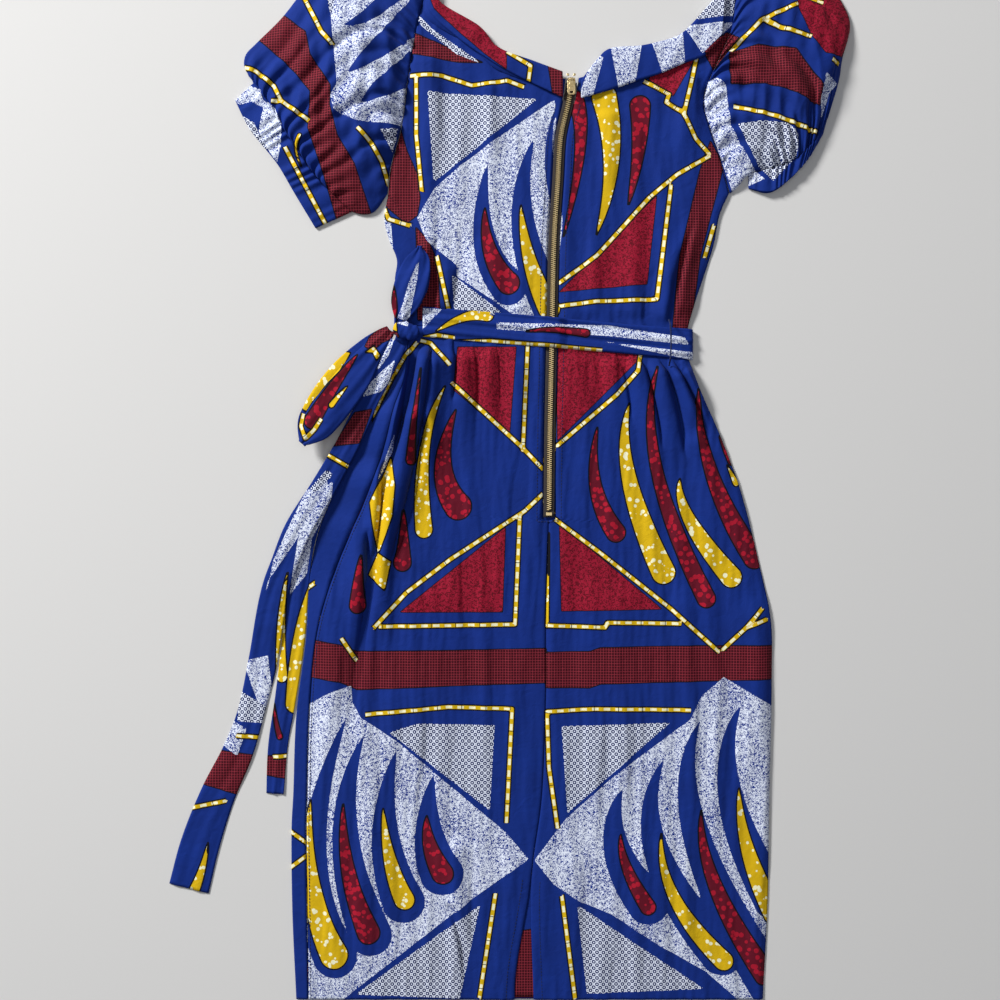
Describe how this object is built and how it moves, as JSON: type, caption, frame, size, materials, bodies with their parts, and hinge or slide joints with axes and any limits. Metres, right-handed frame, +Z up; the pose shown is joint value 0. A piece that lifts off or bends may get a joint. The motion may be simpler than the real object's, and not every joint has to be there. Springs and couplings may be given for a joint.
{
  "type": "wax print dress with tie belt, laid flat",
  "caption": "Fitted knee-length dress laid flat on its front: wide collared V neck, back zip, puff sleeves with gathered cuffs, tie belt in a side bow, pencil skirt with back vent.",
  "frame": {"origin": "on the surface that the dress lies on, under the foot of the centre back zip", "axes": "+X to the right across the garment as it lies back up, +Y from the hem to the neck, +Z up off the surface"},
  "size_m": [0.7034, 1.0827, 0.0229],
  "materials": {
    "wax_print": "plain-woven cotton, printed in blue, crimson, yellow and white, slight starch sheen",
    "thread": "twisted thread, matte",
    "zip_tape": "woven tape, matte",
    "brass": "worn satin"
  },
  "bodies": {
    "dress": {"front_bodice": "wax_print", "front_skirt": "wax_print", "back_bodice_left": "wax_print", "back_bodice_right": "wax_print", "back_skirt_left": "wax_print", "back_skirt_right": "wax_print", "vent_underlap": "wax_print", "collar_left": "wax_print", "collar_right": "wax_print", "sleeve_left": "wax_print", "sleeve_right": "wax_print", "cuff_left": "wax_print", "cuff_right": "wax_print", "belt_band": "wax_print", "belt_knot": "wax_print", "bow_loop_upper": "wax_print", "bow_loop_lower": "wax_print", "belt_tail_inner": "wax_print", "belt_tail_outer": "wax_print", "belt_carrier": "thread", "zip_tape_left": "zip_tape", "zip_tape_right": "zip_tape", "zip_chain": "brass", "zip_bottom_stop": "brass", "zip_top_stop_left": "brass", "zip_top_stop_right": "brass", "zip_slider": "brass"},
    "pull_tab": {"zip_pull_tab": "brass"}
  },
  "joints": [
    {"name": "pull_tab_hinge", "type": "hinge", "parent": "dress", "child": "pull_tab", "pos_m": [0.02295, 0.447, 0.0094], "axis": [-1, 0, 0], "range_deg": [0, 170]}
  ]
}
